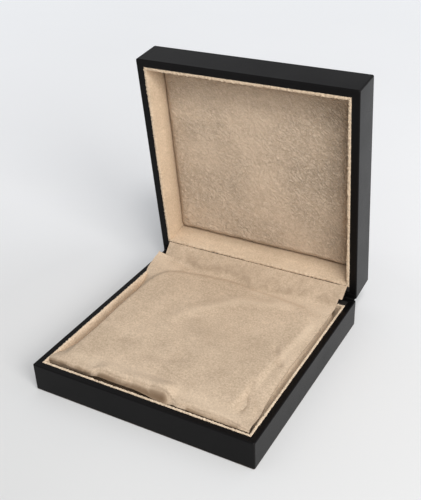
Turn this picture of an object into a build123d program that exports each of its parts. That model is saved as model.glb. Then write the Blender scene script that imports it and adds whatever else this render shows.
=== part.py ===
from build123d import *
from math import cos, radians, sin, sqrt, tan
import os

# A square necklace box standing open. A black covered tray with a suede lining carries a necklace pad
# under a loose suede flap, and a hinged lid with a padded suede panel stands open behind it.
# Millimetres, +Z up, X to the right, Y to the back. The origin is the centre of the underside.

# Outside sizes
outer_width = 200.0
outer_depth = 200.0
base_height = 25.0
lid_height = 30.0
rim_gap = 0.8
open_angle = 84.0

# Black covering
skin = 0.6
skin_turn_in = 3.0
skin_turn_under = 9.0
upright_edge_radius = 1.5
rim_edge_radius = 0.9
foot_edge_radius = 0.5
inner_edge_radius = 0.35
mitre_groove_width = 0.18
mitre_groove_depth = 0.2

# Boards
base_board = 4.4
lid_board = 5.6
bottom_board_thickness = 3.0
top_board_thickness = 3.0
felt_stands_proud = 0.2
felt_clearance = 0.3

# Tray lining
card_thickness = 1.2
facing_thickness = 0.8
facing_edge_radius = 0.35
base_lining_rise = 0.3
floor_lining_thickness = 1.2

# Lid lining
lid_facing_at_rim = 1.8
lid_facing_taper = 8.0
lid_facing_edge_radius = 0.7
lid_lining_rise = 0.2

# Necklace pad
pad_left_gap = 6.2
pad_right_gap = 1.6
pad_front_gap = 8.9
pad_back_gap = 1.5
pad_above_rim = 0.4
pad_shoulder_radius = 8.0
pad_corner_radius = 12.0
pad_crown_radius = 3600.0
pad_board_thickness = 2.0
pad_cover_thickness = 0.8

# Padded panel in the lid
panel_depth = 18.4
panel_clearance = 0.4
panel_shoulder_radius = 2.6
panel_corner_radius = 8.0
panel_crown_radius = 4200.0
panel_board_thickness = 2.0
panel_cover_thickness = 0.8

# Hinges
hinge_length = 30.0
hinge_from_side = 38.0
leaf_thickness = 0.8
leaf_reach = 11.4
barrel_radius = 2.0
barrel_clearance = 0.3
knuckle_clearance = 0.15
pin_radius = 0.9
pin_clearance = 0.05
pin_head_radius = 1.5
pin_head_thickness = 0.6
recess_clearance = 0.25
rail_beyond_leaf = 0.7

# Screws
screw_spacing = 18.0
screw_from_leaf_edge = 2.6
screw_length = 7.0
screw_radius = 1.0
screw_head_radius = 1.9
screw_clearance = 0.02
screw_slot_width = 0.45
screw_slot_depth = 0.35

# Suede over the hinges
apron_thickness = 0.5
apron_side_gap = 1.8
apron_bend_radius = 8.0
apron_base_margin = 5.0
apron_lid_margin = 3.6

# Suede flap. Angles are in degrees. The front's stand at places from its left end, -1, to its right, 1
flap_thickness = 0.8
flap_above_pad = 0.7
flap_back_lap = 1.5
flap_right_gap = 6.4
flap_wall_clearance = 0.5
flap_ear_from_side = 3.0
flap_shoulder_inset = 6.2
flap_front_inset = 7.5
flap_front_fall = 12.5
flap_right_fall = 6.0
flap_side_angle = 81.4
flap_ear_angle = -28.6
flap_ear_length = 27.0
flap_droop_from_back = 29.5
flap_droop_fade = 22.0
flap_right_angle = 20.0
flap_right_fade = 30.0
flap_front_angles = ((-1, 14), (-0.55, 17), (-0.1, 52), (0.2, 69), (0.55, 46), (1, 63))
flap_fold_lift = 1.4
flap_fold_place = -0.3
flap_fold_share = 0.38
flap_points = 25
straight_below = 1.0

# Worked out from the sizes above
half_width = outer_width / 2
half_depth = outer_depth / 2
hinge_y = half_depth
hinge_z = base_height + rim_gap / 2
hinge_centres = {"left": hinge_from_side - half_width, "right": half_width - hinge_from_side}
lid_rim_z = base_height + rim_gap
lid_top_z = lid_rim_z + lid_height
lid_ceiling = lid_top_z - skin - top_board_thickness
skin_bottom = felt_stands_proud
board_bottom = skin_bottom + skin
tray_floor = board_bottom + bottom_board_thickness
card_floor = tray_floor + floor_lining_thickness
base_rim = skin + base_board + skin
lid_rim = skin + lid_board + skin
base_rail_width = leaf_reach + rail_beyond_leaf - base_rim
lid_rail_width = leaf_reach + rail_beyond_leaf - lid_rim
screws_y = hinge_y - leaf_reach + screw_from_leaf_edge
base_lining = card_thickness + facing_thickness
tray_side = half_width - base_rim - base_lining
tray_front = base_rim + base_lining - half_depth
tray_back = half_depth - base_rim - base_rail_width - base_lining
pad_left = pad_left_gap - tray_side
pad_right = tray_side - pad_right_gap
pad_front = tray_front + pad_front_gap
pad_back = tray_back - pad_back_gap
pad_top = base_height + pad_above_rim
flap_height = pad_top + flap_above_pad
flap_left_edge = flap_ear_from_side - half_width
flap_right_edge = tray_side - flap_right_gap
flap_back_edge = tray_back + flap_back_lap
flap_left_shoulder = pad_left + flap_shoulder_inset
flap_right_shoulder = flap_right_edge - flap_right_fall
flap_front_shoulder = pad_front + flap_front_inset
flap_length = flap_back_edge - flap_front_shoulder + flap_front_fall
flap_wall_reach = flap_left_shoulder + tray_side - flap_wall_clearance - flap_thickness
sides = ("front", "back", "left", "right")
downward = (Align.CENTER, Align.CENTER, Align.MAX)
nodes = {}


def block(x_low, x_high, y_low, y_high, z_low, z_high):
    """A box between two corners."""
    size = Box(x_high - x_low, y_high - y_low, z_high - z_low, align=(Align.MIN, Align.MIN, Align.MIN))
    return Pos(x_low, y_low, z_low) * size


def inset_block(inset, z_low, z_high, back_extra=0.0):
    """A box that stands in from the outside of the necklace box by inset, and by more at the back."""
    back = half_depth - inset - back_extra
    return block(inset - half_width, half_width - inset, inset - half_depth, back, z_low, z_high)


def add_mitred(names, ring, inset, z_low, z_high, back_extra=0.0):
    """Cuts a ring into its four sides, at 45 degrees from the corners of its outline."""
    x, front, back = half_width - inset, inset - half_depth, half_depth - inset - back_extra
    reach = min(x, (back - front) / 2)
    outlines = {
        "front": ((-x, front), (x, front), (x - reach, front + reach), (reach - x, front + reach)),
        "back": ((x, back), (-x, back), (reach - x, back - reach), (x - reach, back - reach)),
        "left": ((-x, back), (-x, front), (reach - x, front + reach), (reach - x, back - reach)),
        "right": ((x, front), (x, back), (x - reach, back - reach), (x - reach, front + reach)),
    }
    for side in sides:
        corners = list(dict.fromkeys(outlines[side]))
        wedge = Pos(0, 0, z_low) * extrude(Polygon(*corners, align=None), z_high - z_low)
        nodes[names.format(side)] = ring & wedge


def edges_at(shape, z):
    """The edges that lie flat at a height."""
    return shape.edges().filter_by_position(Axis.Z, z, z)


def inner_rim_edges(shape, z, rim):
    """The edges round the mouth of a rim, at a height."""
    x, y = half_width - rim / 2, half_depth - rim / 2
    return edges_at(shape, z).filter_by(lambda e: abs(e.center().X) < x and abs(e.center().Y) < y)


def open_lid(piece):
    """Turns a piece of the closed lid to where it stands in the photograph."""
    return piece.rotate(Axis((0, hinge_y, hinge_z), (-1, 0, 0)), open_angle)


def hinge_recess(z_low, z_high):
    """What the leaves and barrels need cut out of the rims, over both hinges."""
    recess_front = hinge_y - leaf_reach - recess_clearance
    cut = None
    for x in hinge_centres.values():
        half = hinge_length / 2 + recess_clearance
        seat = block(x - half, x + half, recess_front, hinge_y + barrel_radius, z_low, z_high)
        groove_half = half + pin_head_thickness + recess_clearance
        groove = Cylinder(barrel_radius + barrel_clearance, 2 * groove_half, rotation=(0, 90, 0))
        both = seat + Pos(x, hinge_y, hinge_z) * groove
        cut = both if cut is None else cut + both
    return cut


def mitre_grooves(rim_z, rim_width, direction):
    """The four fine lines where the covering is cut and butted on the corners of a rim."""
    groove_length = (rim_width - inner_edge_radius) * sqrt(2)
    grooves = []
    for x_sign in (-1, 1):
        for y_sign in (-1, 1):
            middle = rim_width / 2
            place = Pos(
                x_sign * (half_width - middle),
                y_sign * (half_depth - middle),
                rim_z + direction * mitre_groove_depth / 2,
            )
            turn = Rot(0, 0, 45 * x_sign * y_sign)
            grooves.append(place * turn * Box(groove_length, mitre_groove_width, mitre_groove_depth))
    return grooves


base_recess = hinge_recess(base_height - leaf_thickness, lid_rim_z)
lid_recess = hinge_recess(base_height, lid_rim_z + leaf_thickness)


def base_walls():
    """Four mitred boards round the bottom board."""
    ring = inset_block(skin, board_bottom, base_height - skin)
    ring -= inset_block(skin + base_board, board_bottom, base_height)
    ring -= base_recess
    add_mitred("base_{}_wall", ring, 0, board_bottom, base_height)
    nodes["base_bottom_board"] = inset_block(skin + base_board, board_bottom, tray_floor)


def base_covering():
    """Black skin over the walls, turned in over the rim and under the bottom."""
    skin_block = inset_block(0, skin_bottom, base_height)
    skin_block = fillet(skin_block.edges().filter_by(Axis.Z), upright_edge_radius)
    skin_block = fillet(edges_at(skin_block, base_height), rim_edge_radius)
    skin_block = fillet(edges_at(skin_block, skin_bottom), foot_edge_radius)
    skin_block -= inset_block(base_rim, board_bottom, lid_rim_z)
    skin_block = fillet(inner_rim_edges(skin_block, base_height, base_rim), inner_edge_radius)
    skin_block -= inset_block(skin, board_bottom, base_height - skin) - inset_block(
        skin + base_board, base_height - skin_turn_in, base_height
    )
    skin_block -= inset_block(skin_turn_under, 0, board_bottom)
    skin_block -= base_recess
    for groove in mitre_grooves(base_height, base_rim, -1):
        skin_block -= groove
    nodes["base_covering"] = skin_block
    nodes["base_underside_felt"] = inset_block(skin_turn_under + felt_clearance, 0, board_bottom)


def base_rail():
    """Wood rail behind the back card, level with the rim, that the hinge screws bite into."""
    rail_half = half_width - base_rim
    rail_back = half_depth - base_rim
    rail_front = rail_back - base_rail_width
    rail = block(-rail_half, rail_half, rail_front, rail_back, tray_floor, base_height)
    rail -= base_recess
    for x in screw_places():
        rail -= Pos(x, screws_y, base_height - leaf_thickness) * screw_hole()
    nodes["base_hinge_rail"] = rail


def base_linings():
    """Cards against the tray walls, and suede facings folded over the top of each card."""
    top = base_height + base_lining_rise
    ring = inset_block(base_rim, card_floor, top, base_rail_width)
    ring -= inset_block(base_rim + base_lining, card_floor, top, base_rail_width)
    ring = fillet(edges_at(ring, top), facing_edge_radius)
    ring -= block(-half_width, half_width, tray_back, half_depth, base_height, top)
    card_top = base_height - facing_thickness
    cards = inset_block(base_rim, card_floor, card_top, base_rail_width)
    cards -= inset_block(base_rim + card_thickness, card_floor, card_top, base_rail_width)
    add_mitred("base_card_{}", cards, base_rim, card_floor, top, base_rail_width)
    add_mitred("base_lining_{}", ring - cards, base_rim, card_floor, top, base_rail_width)
    nodes["base_floor_lining"] = inset_block(base_rim, tray_floor, card_floor, base_rail_width)


def crowned_form(x_low, x_high, y_low, y_high, z_low, z_high, crown, shoulder, corner):
    """A pad with rounded corners and shoulders whose top swells gently both ways."""
    form = block(x_low, x_high, y_low, y_high, z_low, z_high)
    form = fillet(form.edges().filter_by(Axis.Z), corner)
    form = fillet(edges_at(form, z_high), shoulder)
    middle = Pos((x_low + x_high) / 2, (y_low + y_high) / 2, z_high - crown)
    reach = x_high - x_low + y_high - y_low
    form &= middle * Cylinder(crown, reach, rotation=(90, 0, 0))
    form &= middle * Cylinder(crown, reach, rotation=(0, 90, 0))
    return form


def necklace_pad():
    """Foam on a board, and the suede pulled over both."""
    add_pad(
        "pad",
        (pad_left, pad_right, pad_front, pad_back, card_floor, pad_top),
        pad_crown_radius,
        pad_shoulder_radius,
        pad_corner_radius,
        pad_board_thickness,
        pad_cover_thickness,
    )


def add_pad(name, space, crown, shoulder, corner, board, cover):
    """The three layers of a covered pad that fills a space."""
    x_low, x_high, y_low, y_high, z_low, z_high = space
    outside = crowned_form(*space, crown, shoulder, corner)
    inner_space = (x_low + cover, x_high - cover, y_low + cover, y_high - cover, z_low, z_high - cover)
    inside = crowned_form(*inner_space, crown, shoulder - cover, corner - cover)
    board_space = block(x_low, x_high, y_low, y_high, z_low, z_low + board)
    nodes[f"{name}_cover"] = outside - inside
    nodes[f"{name}_board"] = inside & board_space
    nodes[f"{name}_foam"] = inside - board_space


def lid_walls():
    """Four mitred boards under the top board."""
    ring = inset_block(skin, lid_rim_z + skin, lid_top_z - skin)
    ring -= inset_block(skin + lid_board, lid_rim_z, lid_top_z)
    ring -= lid_recess
    add_mitred("lid_{}_wall", ring, 0, lid_rim_z, lid_top_z)
    nodes["lid_top_board"] = inset_block(skin + lid_board, lid_ceiling, lid_top_z - skin)


def lid_covering():
    """Black skin over the lid, turned in over the rim."""
    skin_block = inset_block(0, lid_rim_z, lid_top_z)
    skin_block = fillet(skin_block.edges().filter_by(Axis.Z), upright_edge_radius)
    skin_block = fillet(edges_at(skin_block, lid_top_z), rim_edge_radius)
    skin_block = fillet(edges_at(skin_block, lid_rim_z), rim_edge_radius)
    skin_block -= inset_block(lid_rim, base_height, lid_ceiling)
    skin_block = fillet(inner_rim_edges(skin_block, lid_rim_z, lid_rim), inner_edge_radius)
    skin_block -= inset_block(skin, lid_rim_z + skin, lid_top_z - skin) - inset_block(
        skin + lid_board, lid_rim_z, lid_rim_z + skin_turn_in
    )
    skin_block -= lid_recess
    for groove in mitre_grooves(lid_rim_z, lid_rim, 1):
        skin_block -= groove
    nodes["lid_covering"] = skin_block


def lid_rail():
    """Wood rail behind the lid's back card, level with the rim."""
    rail_half = half_width - lid_rim
    rail_back = half_depth - lid_rim
    rail_front = rail_back - lid_rail_width
    rail = block(-rail_half, rail_half, rail_front, rail_back, lid_rim_z, lid_ceiling)
    rail -= lid_recess
    for x in screw_places():
        rail -= Pos(x, screws_y, lid_rim_z + leaf_thickness) * Rot(180, 0, 0) * screw_hole()
    nodes["lid_hinge_rail"] = rail


def lid_linings():
    """Cards against the lid walls, and padded facings that thicken towards the panel."""
    rim_edge = lid_rim_z - lid_lining_rise
    ring = inset_block(lid_rim, rim_edge, lid_ceiling, lid_rail_width)
    inner = lid_rim + card_thickness + lid_facing_at_rim
    inner_width = outer_width - 2 * inner
    inner_length = outer_depth - 2 * inner - lid_rail_width
    mouth = Pos(0, -lid_rail_width / 2, rim_edge) * extrude(
        Rectangle(inner_width, inner_length), lid_ceiling - rim_edge, taper=lid_facing_taper
    )
    ring -= mouth
    ring = fillet(edges_at(ring, rim_edge), lid_facing_edge_radius)
    cards = inset_block(lid_rim, rim_edge + facing_thickness, lid_ceiling, lid_rail_width)
    cards -= inset_block(lid_rim + card_thickness, rim_edge, lid_ceiling, lid_rail_width)
    add_mitred("lid_card_{}", cards, lid_rim, rim_edge, lid_ceiling, lid_rail_width)
    add_mitred("lid_lining_{}", ring - cards, lid_rim, rim_edge, lid_ceiling, lid_rail_width)


def lid_panel():
    """Padded suede panel pressed in between the linings, on the top board."""
    lining_height = lid_ceiling - lid_rim_z + lid_lining_rise
    facing_at_ceiling = lid_facing_at_rim + lining_height * tan(radians(lid_facing_taper))
    inset = lid_rim + card_thickness + facing_at_ceiling + panel_clearance
    x = half_width - inset
    front, back = inset - half_depth, half_depth - inset - lid_rail_width
    # The pad is drawn face up and then turned over about the X axis, so its place is given as turned
    add_pad(
        "panel",
        (-x, x, -back, -front, -lid_ceiling, -lid_rim_z - panel_depth),
        panel_crown_radius,
        panel_shoulder_radius,
        panel_corner_radius,
        panel_board_thickness,
        panel_cover_thickness,
    )
    for layer in ("cover", "board", "foam"):
        nodes[f"panel_{layer}"] = nodes[f"panel_{layer}"].rotate(Axis.X, 180)


def screw_places():
    """Where the screws stand along the two hinges, from left to right."""
    return [x + step * screw_spacing / 2 for x in hinge_centres.values() for step in (-1, 1)]


def screw_hole():
    """The hole for a screw's shank, down from the underside of a leaf."""
    return Cylinder(screw_radius + screw_clearance, screw_length, align=downward)


def screw():
    """A countersunk screw whose head's top is at z = 0."""
    head = Cone(screw_radius, screw_head_radius, leaf_thickness, align=downward)
    shank = Cylinder(screw_radius, screw_length, align=downward)
    slot = Box(2 * screw_head_radius, screw_slot_width, 2 * screw_slot_depth)
    return head + shank - slot


def hinge_leaf(x, is_lid):
    """A leaf with its knuckles and countersunk holes, for the base or the closed lid."""
    z_low = lid_rim_z if is_lid else base_height - leaf_thickness
    z_high = z_low + leaf_thickness
    x_low, x_high = x - hinge_length / 2, x + hinge_length / 2
    leaf = block(x_low, x_high, hinge_y - leaf_reach, hinge_y, z_low, z_high)
    pitch = hinge_length / 3
    room = knuckle_clearance
    middle_gap = barrel_radius + barrel_clearance
    if is_lid:
        knuckles = [(x - pitch / 2 + room, x + pitch / 2 - room)]
        cuts = [(x_low, x - pitch / 2 + room), (x + pitch / 2 - room, x_high)]
    else:
        knuckles = [(x_low, x - pitch / 2), (x + pitch / 2, x_high)]
        cuts = [(x - pitch / 2, x + pitch / 2)]
    for low, high in cuts:
        leaf -= block(low, high, hinge_y - middle_gap, hinge_y, z_low, z_high)
    for low, high in knuckles:
        barrel = Cylinder(barrel_radius, high - low, rotation=(0, 90, 0))
        leaf += Pos((low + high) / 2, hinge_y, hinge_z) * barrel
    pin_space = Cylinder(pin_radius + pin_clearance, hinge_length, rotation=(0, 90, 0))
    leaf -= Pos(x, hinge_y, hinge_z) * pin_space
    sink_low, sink_high = screw_radius + screw_clearance, screw_head_radius + screw_clearance
    sink = Cone(sink_low, sink_high, leaf_thickness, align=downward)
    for step in (-1, 1):
        place = Pos(x + step * screw_spacing / 2, screws_y, lid_rim_z if is_lid else base_height)
        leaf -= place * (Rot(180, 0, 0) if is_lid else Rot(0, 0, 0)) * sink
    return leaf


def hinges():
    """Two small butt hinges let into the rims, with their pins and screws."""
    for side, x in hinge_centres.items():
        nodes[f"hinge_base_leaf_{side}"] = hinge_leaf(x, False)
        nodes[f"hinge_lid_leaf_{side}"] = hinge_leaf(x, True)
        pin = Cylinder(pin_radius, hinge_length + 2 * pin_clearance, rotation=(0, 90, 0))
        for end in (-1, 1):
            offset = end * (hinge_length / 2 + pin_clearance + pin_head_thickness / 2)
            pin += Pos(offset, 0, 0) * Cylinder(pin_head_radius, pin_head_thickness, rotation=(0, 90, 0))
        nodes[f"hinge_pin_{side}"] = Pos(x, hinge_y, hinge_z) * pin
    for number, x in enumerate(screw_places(), 1):
        nodes[f"base_screw_{number}"] = Pos(x, screws_y, base_height) * screw()
        nodes[f"lid_screw_{number}"] = Pos(x, screws_y, lid_rim_z) * Rot(180, 0, 0) * screw()


def hinge_apron():
    """Suede strip in a soft valley from the tray's back edge up to the lid, over both hinges."""
    lean = radians(open_angle)
    along_lid = Vector(0, -cos(lean), sin(lean))
    into_lid = Vector(0, sin(lean), cos(lean))
    hinge_point = Vector(0, hinge_y, hinge_z)
    lid_face = hinge_point + into_lid * (rim_gap / 2)
    corner_rise = (base_height - lid_face.Z) / along_lid.Z
    corner = lid_face + along_lid * corner_rise
    tangent = apron_bend_radius / tan(lean / 2)
    base_tangent = corner - Vector(0, tangent, 0)
    lid_tangent = corner + along_lid * tangent
    bend_point = corner + (along_lid - Vector(0, 1, 0)).normalized() * (
        apron_bend_radius / sin(lean / 2) - apron_bend_radius
    )
    bottom = [
        base_tangent - Vector(0, apron_base_margin, 0),
        base_tangent,
        bend_point,
        lid_tangent,
        lid_tangent + along_lid * apron_lid_margin,
    ]
    inward = (along_lid - Vector(0, 1, 0)).normalized()
    up = Vector(0, 0, 1)
    lift = [up, up, inward, -into_lid, -into_lid]
    top = [p + d * apron_thickness for p, d in zip(bottom, lift)]
    section = Wire(
        [
            Edge.make_line(bottom[0], bottom[1]),
            Edge.make_three_point_arc(bottom[1], bottom[2], bottom[3]),
            Edge.make_line(bottom[3], bottom[4]),
            Edge.make_line(bottom[4], top[4]),
            Edge.make_line(top[4], top[3]),
            Edge.make_three_point_arc(top[3], top[2], top[1]),
            Edge.make_line(top[1], top[0]),
            Edge.make_line(top[0], bottom[0]),
        ]
    )
    apron_half_width = half_width - lid_rim - apron_side_gap
    strip = Solid.extrude(Face(section), Vector(2 * apron_half_width, 0, 0))
    nodes["hinge_apron"] = Pos(-apron_half_width, 0, 0) * strip


def smooth(t):
    """Runs gently from 0 to 1."""
    t = min(max(t, 0.0), 1.0)
    return t * t * (3 - 2 * t)


def between(points, x):
    """A value read off a list of places and values, eased between them."""
    for (low, a), (high, b) in zip(points, points[1:]):
        if x <= high:
            return a + (b - a) * smooth((x - low) / (high - low))
    return points[-1][1]


def roll(distance, length, angle):
    """How far out and how far down a strip of cloth reaches as it turns through an angle."""
    if abs(angle) < straight_below:
        return distance, 0.0
    turned = radians(angle) * distance / length
    radius = length / radians(angle)
    return radius * sin(turned), radius * (1 - cos(turned))


def left_angle(y):
    """How far the flap's left side rolls down into the channel, and up into an ear at the back."""
    from_back = flap_back_edge - y
    front_end = smooth((y - flap_front_shoulder + flap_droop_fade) / flap_droop_fade)
    droop = smooth((from_back - flap_droop_from_back) / flap_droop_fade) * front_end
    ear = smooth((flap_ear_length - from_back) / flap_ear_length)
    return flap_side_angle * droop + flap_ear_angle * ear


def left_length(angle):
    """The width of the strip beyond the left shoulder that still clears the tray lining."""
    full = flap_left_shoulder - flap_left_edge
    if angle > straight_below:
        return min(full, flap_wall_reach * radians(angle) / sin(radians(angle)))
    return flap_wall_reach + (full - flap_wall_reach) * min(angle / flap_ear_angle, 1)


def flap_point(u, v):
    """A point on the flap's lower face. u runs from its left edge to its right, v from back to front."""
    y_flat = flap_back_edge - v * flap_length
    angle = left_angle(y_flat)
    length = left_length(angle)
    left = flap_left_shoulder - length
    x_flat = left + u * (flap_right_edge - left)
    x, y, drop = x_flat, y_flat, 0.0
    if x_flat < flap_left_shoulder:
        out, down = roll(flap_left_shoulder - x_flat, length, angle)
        x, drop = flap_left_shoulder - out, down
    if x_flat > flap_right_shoulder:
        right_angle = flap_right_angle * smooth((flap_back_edge - y_flat) / flap_right_fade)
        out, down = roll(x_flat - flap_right_shoulder, flap_right_fall, right_angle)
        x, drop = flap_right_shoulder + out, drop + down
    place = 2 * x_flat / (flap_right_edge - flap_left_edge)
    if y_flat < flap_front_shoulder:
        front_angle = between(flap_front_angles, place)
        out, down = roll(flap_front_shoulder - y_flat, flap_front_fall, front_angle)
        y, drop = flap_front_shoulder - out, drop + down
    fold = flap_fold_lift * smooth(1 - abs(place - flap_fold_place) / flap_fold_share)
    fold *= smooth(2 * y_flat / flap_front_shoulder - 1)
    return Vector(x, y, flap_height + fold - drop)


def suede_flap():
    """Loose suede sheet over the pad."""
    steps = [n / (flap_points - 1) for n in range(flap_points)]
    grid = [[flap_point(u, v) for v in steps] for u in steps]
    face = Face.make_surface_from_array_of_points(grid)
    if face.normal_at(face.center()).Z < 0:
        face = -face
    nodes["flap"] = Solid.thicken(face, flap_thickness)


base_walls()
base_covering()
base_rail()
base_linings()
necklace_pad()
lid_walls()
lid_covering()
lid_rail()
lid_linings()
lid_panel()
hinges()
hinge_apron()
suede_flap()

for node in nodes:
    if node.startswith(("lid_", "panel_", "hinge_lid_")):
        nodes[node] = open_lid(nodes[node])

os.makedirs("parts", exist_ok=True)
for node, shape in nodes.items():
    solids = shape.solids()
    print(node, len(solids), round(sum(s.volume for s in solids), 1))
    export_step(shape, f"parts/{node}.step")
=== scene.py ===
import math

import bpy
import numpy as np
from mathutils import Matrix, Vector


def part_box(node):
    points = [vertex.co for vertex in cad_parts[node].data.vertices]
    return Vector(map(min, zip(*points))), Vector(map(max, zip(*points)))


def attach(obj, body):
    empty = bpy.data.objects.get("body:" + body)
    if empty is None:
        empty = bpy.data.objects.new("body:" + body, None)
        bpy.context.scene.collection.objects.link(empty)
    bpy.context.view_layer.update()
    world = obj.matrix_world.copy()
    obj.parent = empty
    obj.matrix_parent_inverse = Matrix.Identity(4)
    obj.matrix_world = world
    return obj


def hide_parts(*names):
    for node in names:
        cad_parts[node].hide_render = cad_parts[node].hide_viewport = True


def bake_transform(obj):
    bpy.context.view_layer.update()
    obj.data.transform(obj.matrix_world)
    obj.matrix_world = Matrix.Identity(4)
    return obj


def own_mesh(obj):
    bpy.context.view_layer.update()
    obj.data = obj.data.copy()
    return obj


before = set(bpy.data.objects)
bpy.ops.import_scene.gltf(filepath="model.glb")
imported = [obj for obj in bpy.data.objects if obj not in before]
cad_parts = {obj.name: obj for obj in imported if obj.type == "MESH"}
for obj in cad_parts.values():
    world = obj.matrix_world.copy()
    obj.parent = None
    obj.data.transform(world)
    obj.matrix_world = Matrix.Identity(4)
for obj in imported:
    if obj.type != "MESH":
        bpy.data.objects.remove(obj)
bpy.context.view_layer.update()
bpy.ops.object.select_all(action="DESELECT")
scene = bpy.context.scene


# The camera stands in front and to the right of the box and looks down into it, held a
# little off level, as the photographer held it. The long side of the picture is upright.

azimuth, elevation, tilt = (math.radians(angle) for angle in (30.463, 30.541, -2.464))
away = Vector(
    (
        math.sin(azimuth) * math.cos(elevation),
        -math.cos(azimuth) * math.cos(elevation),
        math.sin(elevation),
    )
)
level_right = away.cross(Vector((0, 0, -1))).normalized()
level_up = level_right.cross(-away)
picture_right = math.cos(tilt) * level_right + math.sin(tilt) * level_up
picture_up = math.cos(tilt) * level_up - math.sin(tilt) * level_right
aim = Vector((0.01236, 0.0, 0.107482))
distance = 0.64755

lens = bpy.data.cameras.new("camera")
lens.sensor_width = 36.0
lens.lens = 59.305
lens.clip_start = 0.01
camera = bpy.data.objects.new("camera", lens)
turned = Matrix((picture_right, picture_up, away)).transposed().to_4x4()
camera.matrix_world = Matrix.Translation(aim + away * distance) @ turned
scene.collection.objects.link(camera)
scene.camera = camera
scene.view_settings.view_transform = "Standard"


# The box stands on plain white paper that runs back out of sight. A soft lamp hangs in front
# of it, high up, a lower one at the right throws the soft shadow at the left, a white card
# stands beside that, and the room fills the shadows.


def give(tree, value, socket):
    """Links a value to a socket where it comes from a node, and sets it where it doesn't."""
    if isinstance(value, bpy.types.NodeSocket):
        tree.links.new(value, socket)
    else:
        socket.default_value = value


def add_node(tree, kind, inputs=(), **settings):
    """Adds a shader node and gives it its inputs, by name or by number."""
    made = tree.nodes.new(kind)
    for name, value in settings.items():
        setattr(made, name, value)
    for name, value in dict(inputs).items():
        give(tree, value, made.inputs[name])
    return made


def calculate(tree, operation, first, second=0.0):
    """One step of arithmetic between two values."""
    return add_node(tree, "ShaderNodeMath", {0: first, 1: second}, operation=operation).outputs[0]


def multiply(tree, first, second):
    """One value times another."""
    return calculate(tree, "MULTIPLY", first, second)


def dot(tree, first, second):
    """How far one vector reaches along another."""
    vectors = {0: first, 1: second}
    return add_node(tree, "ShaderNodeVectorMath", vectors, operation="DOT_PRODUCT").outputs["Value"]


def stretch(tree, value, low, high, to_low=0.0, to_high=1.0):
    """Spreads the part of a value that lies between low and high over another range."""
    ends = {"From Min": low, "From Max": high, "To Min": to_low, "To Max": to_high}
    return add_node(tree, "ShaderNodeMapRange", {"Value": value, **ends}).outputs["Result"]


def mix_colours(tree, factor, first, second):
    """The colour that lies between two colours."""
    made = add_node(tree, "ShaderNodeMix", data_type="RGBA")
    for socket, value in ((0, factor), (6, first), (7, second)):
        give(tree, value, made.inputs[socket])
    return made.outputs[2]


def paint(tree, shade, shader):
    """Gives a shader its colour."""
    give(tree, shade, shader.inputs["Base Color"])


def noise(tree, place, scale, detail=2.0, roughness=0.5, distortion=0.0):
    """Soft random clouds, so many to the metre."""
    values = {"Vector": place, "Scale": scale, "Detail": detail}
    values.update({"Roughness": roughness, "Distortion": distortion})
    return add_node(tree, "ShaderNodeTexNoise", values).outputs["Fac"]


def seen_directly(tree):
    """1 where the camera or a mirror looks, and 0 for the light that the surface gives."""
    paths = add_node(tree, "ShaderNodeLightPath").outputs
    return calculate(tree, "MAXIMUM", paths["Is Camera Ray"], paths["Is Glossy Ray"])


def new_material(name, roughness, **constants):
    """A material, its tree, its Principled shader and the place of each point on the object."""
    material = bpy.data.materials.new(name)
    material.use_nodes = True
    tree = material.node_tree
    shader = tree.nodes["Principled BSDF"]
    shader.inputs["Roughness"].default_value = roughness
    for socket, value in constants.items():
        shader.inputs[socket.replace("_", " ")].default_value = value
    return material, tree, shader, add_node(tree, "ShaderNodeTexCoord").outputs["Object"]


paper, tree, shader, place = new_material("white_paper", 0.85)
# Painted light: the paper is painted darker towards the front and lighter towards the back. For the
# camera and in reflections it glows more the further it lies from the box.
painted_light_to_back = stretch(tree, dot(tree, place, (-0.10, 0.95, 0.0)), -0.26, 0.22, 0.0, 0.9)
clouds = stretch(tree, noise(tree, place, 3.0), 0.3, 0.7, 0.0, 0.1)
tone = calculate(tree, "ADD", painted_light_to_back, clouds)
paint(tree, mix_colours(tree, tone, (0.675, 0.68, 0.68, 1), (0.93, 0.93, 0.945, 1)), shader)
from_box = add_node(tree, "ShaderNodeVectorMath", {0: place}, operation="LENGTH").outputs["Value"]
far = calculate(tree, "POWER", stretch(tree, from_box, 0.22, 1.5), 0.75)
give(tree, (0.93, 0.96, 1.0, 1), shader.inputs["Emission Color"])
painted_glow = multiply(tree, multiply(tree, far, 0.33), seen_directly(tree))
give(tree, painted_glow, shader.inputs["Emission Strength"])

bpy.ops.mesh.primitive_plane_add(size=8.0, location=(0, 0, -0.0003))
floor = bpy.context.object
floor.name = "paper_floor"
bpy.ops.object.transform_apply(location=True)
floor.data.materials.append(paper)
floor.select_set(False)

room = bpy.data.worlds.new("white_room")
room.use_nodes = True
scene.world = room
tree = room.node_tree
tree.nodes.clear()
fill = add_node(tree, "ShaderNodeBackground", {"Color": (0.95, 0.975, 1.0, 1), "Strength": 0.43})
walls = add_node(tree, "ShaderNodeBackground", {"Color": (0.93, 0.94, 0.96, 1), "Strength": 0.55})
both = {0: seen_directly(tree), 1: fill.outputs[0], 2: walls.outputs[0]}
either = add_node(tree, "ShaderNodeMixShader", both)
add_node(tree, "ShaderNodeOutputWorld", {"Surface": either.outputs[0]})


def hang_lamp(name, size, power, place, direction, colour=(1.0, 1.0, 1.0)):
    """A square soft lamp, which no picture shows, facing in a direction."""
    light = bpy.data.lights.new(name, "AREA")
    light.shape = "SQUARE"
    light.size = size
    light.energy = power
    light.color = colour
    lamp = bpy.data.objects.new(name, light)
    lamp.location = place
    lamp.rotation_euler = Vector(direction).to_track_quat("-Z", "Y").to_euler()
    lamp.visible_camera = False
    scene.collection.objects.link(lamp)


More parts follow.
